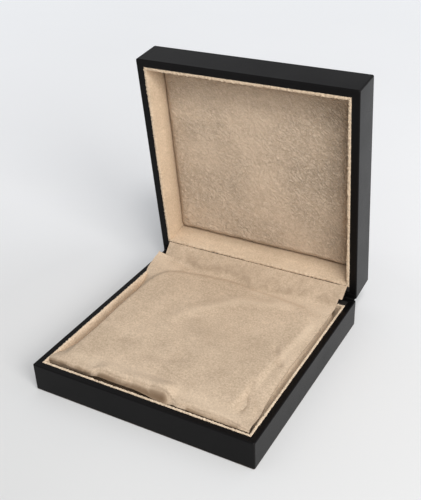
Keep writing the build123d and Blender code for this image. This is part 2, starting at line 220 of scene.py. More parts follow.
warm_white = (1.0, 0.985, 0.96)
hang_lamp("soft_lamp", 0.55, 27.0, (0.885, -1.25, 2.20), (-0.885, 1.28, -2.12), warm_white)
hang_lamp("side_lamp", 0.8, 18.0, (1.50, -0.82, 1.00), (-1.50, 0.82, -0.92), warm_white)
hang_lamp("white_card", 1.8, 4.0, (1.3, -0.1, 0.95), (-1.3, 0.1, -0.6))


# Black leatherette is glued round the boards of the tray and the lid and turned in over both
# rims. It is a thin coated cloth with a fine pebbled grain, rubbed a little along its edges.


def new_group(name, inputs, outputs):
    """An empty shader group with its sockets, and the values that it is given."""
    group = bpy.data.node_groups.new(name, "ShaderNodeTree")
    for socket, (kind, value) in inputs.items():
        made = group.interface.new_socket(socket, in_out="INPUT", socket_type=f"NodeSocket{kind}")
        if value is not None:
            made.default_value = value
    for socket, kind in outputs.items():
        group.interface.new_socket(socket, in_out="OUTPUT", socket_type=f"NodeSocket{kind}")
    given = group.nodes.new("NodeGroupInput").outputs
    out = group.nodes.new("NodeGroupOutput").inputs
    return group, given, out


def place_group(tree, group, **values):
    """Places a shader group in a material. An underscore in a name stands for a space."""
    made = add_node(tree, "ShaderNodeGroup", node_tree=group)
    for name, value in values.items():
        give(tree, value, made.inputs[name.replace("_", " ")])
    return made.outputs


rubbed, given, out = new_group("rubbed_edges", {"Width": ("Float", 0.001)}, {"Mask": "Float"})
rounded = add_node(rubbed, "ShaderNodeBevel", {"Radius": given["Width"]}, samples=4).outputs["Normal"]
facing = add_node(rubbed, "ShaderNodeNewGeometry").outputs["Normal"]
give(rubbed, stretch(rubbed, dot(rubbed, rounded, facing), 0.995, 0.86), out["Mask"])

dust, given, out = new_group(
    "dust", {"Vector": ("Vector", None), "Spacing": ("Float", 55.0)}, {"Mask": "Float"}
)
scattered = {"Vector": given["Vector"], "Scale": given["Spacing"]}
specks = add_node(dust, "ShaderNodeTexVoronoi", scattered).outputs
chosen = add_node(dust, "ShaderNodeSeparateColor", {"Color": specks["Color"]}).outputs[0]
near = stretch(dust, specks["Distance"], 0.030, 0.012)
give(dust, multiply(dust, near, stretch(dust, chosen, 0.72, 0.78)), out["Mask"])

pebbled, given, out = new_group(
    "pebbled_grain",
    {"Vector": ("Vector", None), "Grains": ("Float", 1500.0)},
    {"Height": "Float", "Patches": "Float"},
)
packed = {"Vector": given["Vector"], "Scale": given["Grains"]}
cells = add_node(pebbled, "ShaderNodeTexVoronoi", packed, feature="SMOOTH_F1")
domes = calculate(pebbled, "SUBTRACT", 1.0, cells.outputs["Distance"])
pores = multiply(pebbled, noise(pebbled, given["Vector"], 5200.0), 0.35)
give(pebbled, calculate(pebbled, "ADD", domes, pores), out["Height"])
give(pebbled, noise(pebbled, given["Vector"], 22.0, 4.0), out["Patches"])


def measures(tree, place):
    """A place's own X, Y and Z."""
    return add_node(tree, "ShaderNodeSeparateXYZ", {0: place}).outputs


def tint(tree, shade, mask, amount, colour):
    """Lays a colour over a shade where the mask is 1, as thickly as the amount says."""
    return mix_colours(tree, multiply(tree, mask, amount), shade, colour)


def bump(tree, height, strength, distance, shader):
    """Raises a surface by a pattern, for its shading only."""
    values = {"Height": height, "Strength": strength, "Distance": distance}
    relief = add_node(tree, "ShaderNodeBump", values)
    give(tree, relief.outputs["Normal"], shader.inputs["Normal"])
    return relief


def leatherette(name, foot):
    """Black coated cloth, its lower edge rubbed brown up to the height of foot."""
    material, tree, shader, place = new_material(name, 0.3, Specular_IOR_Level=0.10)
    grain = place_group(tree, pebbled, Vector=place)
    patches = stretch(tree, grain["Patches"], 0.3, 0.7)
    worn = place_group(tree, rubbed, Width=0.0012)["Mask"]
    ink = mix_colours(tree, patches, (0.0026, 0.0024, 0.0026, 1), (0.0046, 0.0043, 0.0045, 1))
    ink = tint(tree, ink, worn, 0.5, (0.022, 0.020, 0.020, 1))
    low_down = stretch(tree, measures(tree, place)["Z"], foot, foot * 0.4)
    rubs = stretch(tree, noise(tree, place, 70.0, 3.0), 0.35, 0.6)
    ink = tint(tree, ink, multiply(tree, low_down, rubs), 0.8, (0.09, 0.06, 0.04, 1))
    flecks = place_group(tree, dust, Vector=place)["Mask"]
    ink = tint(tree, ink, flecks, 0.7, (0.35, 0.34, 0.33, 1))
    paint(tree, ink, shader)
    matt = stretch(tree, patches, 0.0, 1.0, 0.34, 0.27)
    polish = multiply(tree, worn, 0.05)
    give(tree, calculate(tree, "SUBTRACT", matt, polish), shader.inputs["Roughness"])
    bump(tree, grain["Height"], 0.35, 0.00012, shader)
    return material


def finish_nodes(material, *names):
    """Gives CAD nodes a better material."""
    for name in names:
        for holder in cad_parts[name].material_slots:
            holder.material = material


tray_leatherette = leatherette("black_leatherette_tray", 0.0013)
lid_leatherette = leatherette("black_leatherette_lid", 0.0001)
finish_nodes(tray_leatherette, "base_covering")
finish_nodes(lid_leatherette, "lid_covering")


# Under the covering are mitred boards of pressed fibre, a bottom and a top board let in
# between them, and two black stained rails that the hinge screws bite into.

fibreboard, tree, shader, place = new_material("pressed_fibreboard", 0.8)
strands = noise(tree, place, 900.0, 6.0, 0.5, 1.5)
pressed = stretch(tree, strands, 0.35, 0.65)
paint(tree, mix_colours(tree, pressed, (0.30, 0.20, 0.12, 1), (0.52, 0.38, 0.25, 1)), shader)
bump(tree, strands, 0.5, 0.0002, shader)
four_sides = ("front", "back", "left", "right")
for part in ("base", "lid"):
    finish_nodes(fibreboard, *(f"{part}_{side}_wall" for side in four_sides))
finish_nodes(fibreboard, "base_bottom_board", "lid_top_board")


def drawn_out(tree, place, scale, **more):
    """A place for a pattern that is longer one way than the other."""
    inputs = {"Vector": place, "Scale": scale, **more}
    return add_node(tree, "ShaderNodeMapping", inputs).outputs["Vector"]


stained, tree, shader, place = new_material("black_stained_wood", 0.62)
along = drawn_out(tree, place, (14.0, 420.0, 420.0))
figure = noise(tree, along, 1.0, 4.0)
paint(tree, mix_colours(tree, figure, (0.008, 0.007, 0.007, 1), (0.022, 0.019, 0.017, 1)), shader)
bump(tree, figure, 0.4, 0.0001, shader)
finish_nodes(stained, "base_hinge_rail", "lid_hinge_rail")


# The box stands on a pad of black felt, let in between the turned-under edges of the covering.

felt, tree, shader, place = new_material("black_felt", 0.95, Sheen_Weight=0.25, Sheen_Roughness=0.5)
tufts = noise(tree, place, 1400.0, 4.0, 0.5, 0.8)
paint(tree, mix_colours(tree, tufts, (0.010, 0.010, 0.011, 1), (0.035, 0.035, 0.037, 1)), shader)
bump(tree, tufts, 0.8, 0.0003, shader)
finish_nodes(felt, "base_underside_felt")


# The hinges are two small rolled brass butts with headed steel pins, let into the rims and
# held by countersunk steel screws. Their brass is drawn strip, brushed along its length.


def brushed_metal(name, dark, light, roughness):
    """Metal with fine brush lines along X, tarnished a little in patches."""
    material, tree, shader, place = new_material(name, roughness, Metallic=1.0)
    lines = noise(tree, drawn_out(tree, place, (60.0, 5200.0, 5200.0)), 1.0, 3.0)
    tarnish = stretch(tree, noise(tree, place, 160.0, 3.0), 0.35, 0.65)
    paint(tree, mix_colours(tree, tarnish, dark, light), shader)
    dulled = stretch(tree, lines, 0.3, 0.7, roughness, roughness + 0.16)
    give(tree, dulled, shader.inputs["Roughness"])
    bump(tree, lines, 0.25, 0.00004, shader)
    return material


brass = brushed_metal("brushed_brass", (0.50, 0.34, 0.14, 1), (0.76, 0.57, 0.27, 1), 0.24)
steel = brushed_metal("brushed_steel", (0.42, 0.42, 0.43, 1), (0.66, 0.66, 0.67, 1), 0.22)
for side in ("left", "right"):
    finish_nodes(brass, f"hinge_base_leaf_{side}", f"hinge_lid_leaf_{side}")
    finish_nodes(steel, f"hinge_pin_{side}")
for number in (1, 2, 3, 4):
    finish_nodes(steel, f"base_screw_{number}", f"lid_screw_{number}")


# Grey card stiffens the linings and carries the two pads, and the pads are filled with foam.

card, tree, shader, place = new_material("grey_card", 0.9)
pulp = noise(tree, place, 1100.0, 5.0, 0.5, 1.0)
flocks = stretch(tree, pulp, 0.35, 0.65)
paint(tree, mix_colours(tree, flocks, (0.30, 0.285, 0.26, 1), (0.43, 0.41, 0.38, 1)), shader)
bump(tree, pulp, 0.3, 0.0001, shader)
for part in ("base", "lid"):
    finish_nodes(card, *(f"{part}_card_{side}" for side in four_sides))
finish_nodes(card, "pad_board", "panel_board")

foam, tree, shader, place = new_material("cream_foam", 0.95)
bubbles = add_node(tree, "ShaderNodeTexVoronoi", {"Vector": place, "Scale": 1300.0})
cells = bubbles.outputs["Distance"]
rims = stretch(tree, cells, 0.1, 0.6)
paint(tree, mix_colours(tree, rims, (0.55, 0.49, 0.36, 1), (0.82, 0.76, 0.62, 1)), shader)
bump(tree, cells, 0.7, 0.0003, shader)
finish_nodes(foam, "pad_foam", "panel_foam")


# Everything inside is lined with beige suede cloth. Its short nap lies in brushed patches,
# lighter one way and darker the other, over a fine speckle of single fibres.

nap, given, out = new_group(
    "suede_nap",
    {
        "Vector": ("Vector", None),
        "Light": ("Color", (0.62, 0.485, 0.36, 1)),
        "Dark": ("Color", (0.49, 0.38, 0.275, 1)),
        "Patches": ("Float", 26.0),
        "Brushing": ("Float", 0.6),
        "Speckle": ("Float", 0.5),
    },
    {"Color": "Color", "Height": "Float"},
)
brushed = stretch(nap, noise(nap, given["Vector"], given["Patches"], 4.0, 0.55, 0.7), 0.36, 0.64)
combed = drawn_out(nap, given["Vector"], (120, 330, 220), Rotation=(0, 0, 0.7))
streaks = stretch(nap, noise(nap, combed, 1.0, 3.0, 0.5, 0.5), 0.3, 0.7, -0.22, 0.22)
tufts = noise(nap, given["Vector"], 680.0, 3.0, 0.75)
patch = calculate(nap, "ADD", multiply(nap, brushed, given["Brushing"]), streaks)
single = multiply(nap, stretch(nap, tufts, 0.36, 0.64, -0.9, 0.9), given["Speckle"])
darkness = calculate(nap, "ADD", patch, single)
between = add_node(nap, "ShaderNodeMix", data_type="RGBA", clamp_factor=False)
for socket, value in ((0, darkness), (6, given["Light"]), (7, given["Dark"])):
    give(nap, value, between.inputs[socket])
give(nap, between.outputs[2], out["Color"])
give(nap, tufts, out["Height"])


def suede(name, light, dark, patches, brushing, speckle):
    """Suede in its own colours and size of patch, with what more work on it needs."""
    constants = {"Sheen_Weight": 0.03, "Sheen_Roughness": 0.5, "Specular_IOR_Level": 0.08}
    material, tree, shader, place = new_material(name, 0.93, **constants)
    values = {"Light": light, "Dark": dark, "Patches": patches}
    values.update({"Brushing": brushing, "Speckle": speckle})
    cloth = place_group(tree, nap, Vector=place, **values)
    paint(tree, cloth["Color"], shader)
    relief = bump(tree, cloth["Height"], 0.9, 0.0004, shader)
    return material, tree, shader, place, cloth["Color"], relief


tray_suede, tree, shader, place, cloth, _ = suede(
    "tray_lining_suede", (0.75, 0.60, 0.45, 1), (0.61, 0.48, 0.35, 1), 40.0, 0.5, 0.8
)
# Painted shade: the front lining below its rolled edge, down in the gap before the flap's front fold,
# is painted dark brown.
where = measures(tree, place)
at_front = stretch(tree, where["Y"], -0.0900, -0.0915)
painted_shade_under_fold = multiply(tree, at_front, stretch(tree, where["Z"], 0.0252, 0.0238))
paint(tree, tint(tree, cloth, painted_shade_under_fold, 0.75, (0.27, 0.18, 0.11, 1)), shader)
finish_nodes(tray_suede, "base_floor_lining")


# The side linings are stiff cards wrapped in suede and pressed in against the walls, mitred
# where they meet. Their rolled top edges stand just proud of the black rim and look woolly.


def ripple_surface(piece, size, amount, group=""):
    """Pushes a mesh in and out by soft clouds of one size, all over or in a vertex group."""
    clouds = bpy.data.textures.new(f"{piece.name}_clouds", "CLOUDS")
    clouds.noise_scale = size
    push = piece.modifiers.new("unevenness", "DISPLACE")
    push.texture = clouds
    push.texture_coords = "LOCAL"
    push.mid_level = 0.5
    push.strength = amount
    push.vertex_group = group
    bpy.ops.object.modifier_apply(modifier=push.name)


def select_edges(piece, wanted):
    """Selects the edges whose two ends pass a test, and nothing else."""
    bpy.ops.object.mode_set(mode="EDIT")
    bpy.ops.mesh.select_mode(type="EDGE")
    bpy.ops.mesh.select_all(action="DESELECT")
    bpy.ops.object.mode_set(mode="OBJECT")
    points = piece.data.vertices
    for edge in piece.data.edges:
        edge.select = wanted(*(points[number].co for number in edge.vertices))
    bpy.ops.object.mode_set(mode="EDIT")


def suede_strip(name, length, height, top, foot, lip, slack):
    """A wrapped card along X, its back on y = 0, its face towards -Y, its rolled edge at z = 0."""
    middle = (0, -top / 2, -height / 2)
    bpy.ops.mesh.primitive_cube_add(size=1.0, location=middle, scale=(length, top, height))
    strip = bpy.context.object
    strip.name = name
    bpy.ops.object.transform_apply(location=True, scale=True)
    for vertex in strip.data.vertices:
        if vertex.co.z < -height / 2 and vertex.co.y < -top / 2:
            vertex.co.y = -foot
    select_edges(strip, lambda a, b: max(abs(a.z), abs(b.z)) < 1e-6 and abs(a.x - b.x) > length / 2)
    bpy.ops.mesh.bevel(offset=lip, segments=5, profile=0.5)
    for longer_than, cuts in ((length / 2, 99), (length / 120, 2)):
        select_edges(strip, lambda a, b: abs(a.x - b.x) > longer_than)
        bpy.ops.mesh.subdivide(number_cuts=cuts)
    select_edges(strip, lambda a, b: abs(a.z - b.z) > height / 2)
    bpy.ops.mesh.subdivide(number_cuts=26)
    bpy.ops.object.mode_set(mode="OBJECT")
    woolly = strip.vertex_groups.new(name="rolled_edge")
    woolly.add([v.index for v in strip.data.vertices if v.co.z > -lip * 1.6], 1.0, "REPLACE")
    ripple_surface(strip, 0.030, slack)
    ripple_surface(strip, 0.0030, 0.0004)
    ripple_surface(strip, 0.0014, 0.0016, "rolled_edge")
    mitred_end = 0.009
    full_until = length / 2 - mitred_end
    for vertex in strip.data.vertices:
        beyond = abs(vertex.co.x) - full_until
        if beyond > 0:
            inward = min(max(-vertex.co.y, 0.0), foot)
            kept = beyond / mitred_end * (mitred_end - inward)
            vertex.co.x = math.copysign(full_until + kept, vertex.co.x)
    bpy.ops.object.shade_smooth_by_angle(angle=math.radians(50))
    return strip


def settle(piece, turn, material, body, replaced):
    """Puts a finished piece in its place in its mesh, and hands it to its body."""
    piece.data.transform(turn)
    piece.data.materials.clear()
    piece.data.materials.append(material)
    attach(piece, body)
    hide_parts(*replaced)
    piece.select_set(False)


quarter_turns = {"back": 0.0, "left": 90.0, "front": 180.0, "right": 270.0}
card_back = 0.0879
tray_wall = 0.0944
tray_floor = 0.005
tray_middle = (card_back - tray_wall) / 2
tray_stands = {
    "back": (0, card_back, 0.0252),
    "left": (-tray_wall, tray_middle, 0.0255),
    "front": (0, -tray_wall, 0.0255),
    "right": (tray_wall, tray_middle, 0.0255),
}
for side, stand in tray_stands.items():
    length = 2 * tray_wall if side in ("front", "back") else tray_wall + card_back
    height = stand[2] - tray_floor
    foot = 0.0065 if side == "left" else 0.0022
    strip = suede_strip(f"tray_lining_{side}", length, height, 0.0020, foot, 0.0009, 0.0004)
    turn = Matrix.Translation(stand) @ Matrix.Rotation(math.radians(quarter_turns[side]), 4, "Z")
    settle(strip, turn, tray_suede, "base", (f"base_lining_{side}",))
    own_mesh(strip)


# The lid's linings are padded towards the panel, so they slope inwards, and they stand just
# proud of the rim. What is in the lid is shaped with the lid shut and then swung open.

open_angle = math.radians(84)
hinge_line = Vector((0, 0.1, 0.0254))
lid_swing = (
    Matrix.Translation(hinge_line)
    @ Matrix.Rotation(-open_angle, 4, "X")
    @ Matrix.Translation(-hinge_line)
)
lid_wall = 0.0932
lid_middle = (card_back - lid_wall) / 2
lid_suede, tree, shader, place, cloth, _ = suede(
    "lid_lining_suede", (0.665, 0.52, 0.377, 1), (0.555, 0.425, 0.30, 1), 30.0, 0.5, 0.7
)
into = (0, math.sin(open_angle), math.cos(open_angle))
# Painted shade: the linings turn darker brown deeper in the lid, in the corner where they meet the
# panel.
painted_valley_shade = stretch(tree, dot(tree, place, into), 0.1135, 0.1215)
paint(tree, tint(tree, cloth, painted_valley_shade, 0.45, (0.40, 0.285, 0.185, 1)), shader)
lid_rim = 0.0255
lid_ceiling = 0.0522
lid_stands = {
    "back": (0, card_back),
    "left": (-lid_wall, lid_middle),
    "front": (0, -lid_wall),
    "right": (lid_wall, lid_middle),
}
for side, (x, y) in lid_stands.items():
    length = 2 * lid_wall if side in ("front", "back") else lid_wall + card_back
    height = lid_ceiling - lid_rim
    strip = suede_strip(f"lid_lining_{side}_suede", length, height, 0.0027, 0.0066, 0.0012, 0.0006)
    facing = Matrix.Rotation(math.radians(quarter_turns[side]), 4, "Z")
    upturned = facing @ Matrix.Rotation(math.pi, 4, "Y")
    turn = lid_swing @ Matrix.Translation((x, y, lid_rim)) @ upturned
    settle(strip, turn, lid_suede, "lid", (f"lid_lining_{side}",))
    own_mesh(strip)


# Both pads are foam on a board, with suede pulled over and glued under the edge. The foam
# swells the cover a little, and the pull rounds its shoulders.


def covered_pad(name, half, corner, shoulder, depth, rows):
    """A pad with a flat top at z = 0 and its foot at z = -depth, centred on the origin."""
    bpy.ops.mesh.primitive_grid_add(x_subdivisions=rows, y_subdivisions=rows, size=2.0)
    pad = bpy.context.object
    pad.name = name
    bend = corner - shoulder
    straight = np.array(half) - corner
    place = np.array([v.co[:2] for v in pad.data.vertices]) * (straight + bend)
    over = np.clip((np.abs(place) - straight) / bend, 0, None)
    both = (over > 0).all(1)
    pull = np.sqrt(np.clip(1 - over[both][:, ::-1] ** 2 / 2, 0, 1))
    place[both] = np.sign(place[both]) * (straight + bend * over[both] * pull)
    for vertex, (x, y) in zip(pad.data.vertices, place):
        vertex.co = (x, y, 0)
    bpy.ops.object.mode_set(mode="EDIT")
    bpy.ops.mesh.select_all(action="SELECT")
    bpy.ops.mesh.region_to_loop()
    steps = [math.radians(angle) for angle in (0, 18, 36, 54, 72, 90)]
    for before, angle in [*zip(steps, steps[1:]), (steps[-1], steps[-1])]:
        bpy.ops.mesh.extrude_edges_move()
        bpy.ops.object.mode_set(mode="OBJECT")
        outward = shoulder * (math.sin(angle) - math.sin(before))
        for vertex in (v for v in pad.data.vertices if v.select):
            x, y = vertex.co.x, vertex.co.y
            from_x = x - min(max(x, -straight[0]), straight[0])
            from_y = y - min(max(y, -straight[1]), straight[1])
            span = math.hypot(from_x, from_y)
            vertex.co.x += outward * from_x / span
            vertex.co.y += outward * from_y / span
            vertex.co.z -= shoulder * (math.cos(before) - math.cos(angle))
            if before == angle:
                vertex.co.z = -depth
        bpy.ops.object.mode_set(mode="EDIT")
    bpy.ops.mesh.fill()
    bpy.ops.mesh.select_all(action="SELECT")
    bpy.ops.mesh.normals_make_consistent(inside=False)
    bpy.ops.object.mode_set(mode="OBJECT")
    return pad


def swell(pad, pressure, depth, most):
    """Lets the foam press the cover out, its foot held, and no point further than most."""
    shape = np.array([v.co for v in pad.data.vertices])
    held = pad.vertex_groups.new(name="glued_foot")
    held.add([int(n) for n in np.flatnonzero(shape[:, 2] < -depth * 0.9)], 1.0, "REPLACE")
    pull = pad.modifiers.new("cover", "CLOTH")
    pull.settings.use_pressure = True
    pull.settings.uniform_pressure_force = pressure
    pull.settings.vertex_group_mass = held.name
    pull.settings.effector_weights.gravity = 0
    for number in range(1, 21):
        scene.frame_set(number)
    swollen = pad.evaluated_get(bpy.context.evaluated_depsgraph_get())
    moved = np.array([v.co for v in swollen.data.vertices]) - shape
    pad.modifiers.remove(pull)
    scene.frame_set(1)
    far = np.linalg.norm(moved, axis=1, keepdims=True)
    shape += moved * np.minimum(1.0, most / np.maximum(far, 1e-9))
    pad.data.vertices.foreach_set("co", shape.astype(np.float32).ravel())
    pad.data.update()


low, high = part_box("pad_cover")
room_to_swell = 0.0012
pad_half = ((high.x - low.x) / 2 - room_to_swell, (high.y - low.y) / 2 - room_to_swell)
pad_depth = high.z - low.z - 0.0008
pad_corner, pad_shoulder = 0.012, 0.008
pad = covered_pad("necklace_pad", pad_half, pad_corner, pad_shoulder, pad_depth, 110)
swell(pad, 4.0, pad_depth, 0.0007)
ripple_surface(pad, 0.020, 0.0008)
ripple_surface(pad, 0.004, 0.00025)
bpy.ops.object.shade_smooth_by_angle(angle=math.radians(60))
pad_suede, tree, shader, place, cloth, _ = suede(
    "pad_suede", (0.66, 0.525, 0.39, 1), (0.56, 0.44, 0.32, 1), 30.0, 0.6, 0.7
)
# Painted shade: the pad's low front side, under the flap's front fold, is painted dark brown.
where = measures(tree, place)
at_front = stretch(tree, where["Y"], -0.076, -0.081)
painted_shade_low_front = multiply(tree, at_front, stretch(tree, where["Z"], 0.0245, 0.0205))
paint(tree, tint(tree, cloth, painted_shade_low_front, 0.85, (0.27, 0.18, 0.11, 1)), shader)
stand = Vector(((high.x + low.x) / 2, (high.y + low.y) / 2, low.z + pad_depth))
settle(pad, Matrix.Translation(stand), pad_suede, "base", ("pad_cover", "pad_foam"))
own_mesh(pad)


# The lid's panel fills the lid between its linings. Its cloth is worked into fine crinkles
# all over, most of them running down to the right. Nothing is stamped on it.

panel_half = (0.0859, 0.0828)
panel_depth = 0.0078
panel_corner, panel_shoulder = 0.0050, 0.0034
panel = covered_pad("lid_panel", panel_half, panel_corner, panel_shoulder, panel_depth, 140)
swell(panel, 3.0, panel_depth, 0.0008)
finer = panel.modifiers.new("finer", "SUBSURF")
finer.subdivision_type = "SIMPLE"
finer.levels = finer.render_levels = 1
bpy.ops.object.modifier_apply(modifier=finer.name)
worked = panel.vertex_groups.new(name="worked_face")
worked.add([v.index for v in panel.data.vertices if v.co.z > -0.0012], 1.0, "REPLACE")
ripple_surface(panel, 0.028, 0.0012)
ripple_surface(panel, 0.007, 0.0004)
ripple_surface(panel, 0.0018, 0.0005, "worked_face")
bpy.ops.object.shade_smooth_by_angle(angle=math.radians(60))

panel_suede, tree, shader, place, cloth, relief = suede(
    "panel_suede", (0.62, 0.48, 0.354, 1), (0.495, 0.378, 0.272, 1), 24.0, 0.5, 0.5
)
leaning = {"Vector": place, "Rotation": (0, math.radians(40), 0), "Scale": (0.0040, 0.0018, 0.0017)}
along = add_node(tree, "ShaderNodeMapping", leaning, vector_type="TEXTURE").outputs["Vector"]
wander = noise(tree, along, 1.0, 2.0, 0.5, 0.7)
from_ridge = calculate(tree, "ABSOLUTE", calculate(tree, "SUBTRACT", wander, 0.5))
crinkle = stretch(tree, from_ridge, 0.15, 0.0)
strong = stretch(tree, noise(tree, place, 24.0, 3.0), 0.36, 0.64, 0.45, 1.0)
# Painted highlight on the crinkles' tips and painted shade in their hollows.
painted_highlight_tips = multiply(tree, stretch(tree, crinkle, 0.62, 1.0), strong)
shade = tint(tree, cloth, painted_highlight_tips, 0.62, (0.86, 0.72, 0.58, 1))
painted_shade_hollows = multiply(tree, stretch(tree, crinkle, 0.45, 0.0), strong)
shade = tint(tree, shade, painted_shade_hollows, 0.22, (0.27, 0.205, 0.145, 1))
where = measures(tree, place)
# Painted shade along the panel's left and right edges, beside the linings.
painted_edge_shade = stretch(tree, calculate(tree, "ABSOLUTE", where["X"]), 0.076, 0.0865)
shade = tint(tree, shade, painted_edge_shade, 0.35, (0.36, 0.26, 0.175, 1))
# Painted shadow over the panel's top, below the lining at the lid's upper edge.
painted_top_shadow = stretch(tree, where["Z"], 0.186, 0.209)
shade = tint(tree, shade, painted_top_shadow, 0.30, (0.36, 0.265, 0.185, 1))
paint(tree, shade, shader)
folds = bump(tree, multiply(tree, crinkle, strong), 1.0, 0.0009, shader)
give(tree, relief.outputs["Normal"], folds.inputs["Normal"])
panel_middle = (-0.0011, lid_middle + 0.0003, 0.0444)
turn = (
    lid_swing
    @ Matrix.Translation(panel_middle)
    @ Matrix.Rotation(math.radians(0.25), 4, "Z")
    @ Matrix.Rotation(math.pi, 4, "X")
)
settle(panel, turn, panel_suede, "lid", ("panel_cover", "panel_foam"))


# A strip of the same suede runs from under the lid's lower lining down over the hinges and on
# under the flap. It is glued to the lid and to the back of the tray, its nap brushed dark, with
# painted shade darkest at the foot of its slope.


def eased(places, values, at):
    """Values between those of a short list of places, rounded off at each."""
    fine = np.linspace(places[0], places[-1], 400)
    line = np.pad(np.interp(fine, places, values), 9, mode="edge")
    window = np.hanning(19)
    return np.interp(at, fine, np.convolve(line, window / window.sum(), mode="valid"))


def gentle(t):
    """Runs softly from 0 to 1."""
    t = np.clip(t, 0.0, 1.0)
    return t * t * (3 - 2 * t)


def waves(x, y, length, seed):
    """Slow waves in cloth, about 1 high, running in no fixed direction."""
    draw = np.random.default_rng(seed)
    total = np.zeros_like(x)
    for _ in range(7):
        heading, phase = draw.uniform(0, 2 * math.pi, 2)
        across = x * math.cos(heading) + y * math.sin(heading)
        total += np.sin(2 * math.pi * across / (length * draw.uniform(0.7, 1.5)) + phase)
    return total / 3.5


# The foot of the slope wanders from the left to the right, in millimetres.
slope_foot_x = (-97, -90, -66, -49, -31, -16, -3, 9, 20, 32, 53, 75, 92)
slope_foot_y = (89, 88.4, 84.8, 79, 81, 82, 78, 72.5, 74, 77.3, 78, 78.5, 80)
pad_line_z = 26.3
lid_line_y, lid_line_z = 98.8, 38.0


def ramp(x, y):
    """How far the cloth climbs above the pad on its way up to the lid, in millimetres."""
    start = eased(slope_foot_x, slope_foot_y, x) - 2.5
    climbed = np.clip((y - start) / (lid_line_y - start), 0, 1)
    return (lid_line_z - pad_line_z) * climbed**1.25


def painted_band_shade(x, y):
    """How dark the strip is painted, its nap brushed darker and painted shade over it: 0 on the pad,
    and darkest at the foot of the slope.
    """
    beyond = y - eased(slope_foot_x, slope_foot_y, x)
    band = gentle((beyond + 3.0) / 6.0) * (1 - 0.35 * gentle((beyond - 5.0) / 9.0))
    return band * (0.62 + 0.38 * gentle((x + 78.0) / 36.0))


def cloth_sheet(name, columns, rows, shape, thickness, brushing):
    """A sheet of cloth whose points lie where the shape puts them, in millimetres, with the painted
    light and shade that brushing gives stored on its points.
    """
    bpy.ops.mesh.primitive_grid_add(x_subdivisions=columns, y_subdivisions=rows, size=1.0)
    sheet = bpy.context.object
    sheet.name = name
    flat = np.array([v.co for v in sheet.data.vertices])
    laid = shape(flat[:, 0] + 0.5, 0.5 - flat[:, 1])
    sheet.data.vertices.foreach_set("co", (laid * 0.001).astype(np.float32).ravel())
    brush = sheet.data.attributes.new("brushed", "FLOAT", "POINT")
    brush.data.foreach_set("value", brushing(laid[:, 0], laid[:, 1]).astype(np.float32))
    sheet.data.update()
    body = sheet.modifiers.new("thickness", "SOLIDIFY")
    body.thickness = thickness
    body.offset = -1.0
    bpy.ops.object.modifier_apply(modifier=body.name)
    bpy.ops.object.shade_smooth_by_angle(angle=math.radians(60))
    return sheet


def strip_shape(u, v):
    """The strip over the hinges, from the lid, v = 0, down to its end under the flap, v = 1."""
    left, width, reach = -91.3, 182.7, 13.4
    x = left + u * width
    bare = gentle((x - 84.0) / 4.0)
    y = lid_line_y + 0.1 - v * (reach - 1.8 * bare)
    z = pad_line_z + ramp(x, y) + 0.4 * waves(x, y, 22.0, 5) * np.sin(math.pi * v)
    under_flap = (1 - bare) * (0.5 + 1.6 * gentle((v - 0.84) / 0.16))
    return np.stack([x, y, z - under_flap], 1)


flap_suede, tree, shader, place, cloth, _ = suede(
    "flap_suede", (0.625, 0.489, 0.360, 1), (0.505, 0.390, 0.281, 1), 24.0, 0.6, 0.85
)
# The attribute brushed carries painted light and painted shade: painted shade in hollows, at the foot
# of the strip's slope and darkest in the gaps under the front fold, and painted light on ridges,
# margins and the fold's crest, mottled like the nap.
brush = add_node(tree, "ShaderNodeAttribute", attribute_name="brushed").outputs["Fac"]
mottle = stretch(tree, noise(tree, place, 85.0, 5.0, 0.6, 0.6), 0.34, 0.66, 0.1, 1.0)
shade = tint(tree, cloth, multiply(tree, brush, mottle), 0.78, (0.355, 0.262, 0.182, 1))
shade = tint(tree, shade, brush, -0.8, (0.72, 0.575, 0.43, 1))
painted_deep_shade = stretch(tree, brush, 0.9, 3.0, 0.0, 0.95)
uneven = stretch(tree, mottle, 0.1, 1.0, 0.82, 1.0)
shade = tint(tree, shade, painted_deep_shade, uneven, (0.135, 0.080, 0.043, 1))
paint(tree, shade, shader)

hinge_strip = cloth_sheet("hinge_suede", 180, 24, strip_shape, 0.0005, painted_band_shade)
hinge_strip.data.materials.append(flap_suede)
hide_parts("hinge_apron")
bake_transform(hinge_strip)
hinge_strip.select_set(False)


# At each end of the joint, outside the suede, a short tongue of the black leatherette is
# glued to both rims and closes the gap between tray and lid.

# Points of Y and Z from the tray's rim into the joint, in millimetres. The rest follow the lid.
tongue_line = [(94.9, 25.2), (96.5, 25.2), (98.1, 25.2), (98.9, 25.3), (99.4, 25.65), (99.7, 26.2)]
for rise in (1.4, 2.6, 4.1, 5.6):
    tongue_line.append((99.8 - rise * math.cos(open_angle), 25.4 + rise * math.sin(open_angle)))


def tongue_shape(left, right):
    """The tongue from the tray's rim, v = 0, round the joint and up the lid's rim, v = 1."""

    def shape(u, v):
        steps = np.arange(len(tongue_line))
        y, z = (np.interp(v * steps[-1], steps, line) for line in zip(*tongue_line))
        return np.stack([left + u * (right - left), y, z], 1)

    return shape


for side, left, right in (("left", -98.9, -79.0), ("right", 79.0, 98.9)):
    shape = tongue_shape(left, right)
    tongue = cloth_sheet(f"joint_tongue_{side}", 16, 18, shape, 0.0003, lambda x, y: x * 0)
    tongue.data.materials.append(tray_leatherette)
    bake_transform(tongue)
    tongue.select_set(False)


# The loose flap lies over the pad, held along its back edge. It slumps into the gap on the
# left, stands up in an ear by the hinge, and is pushed into a soft fold above the front edge.

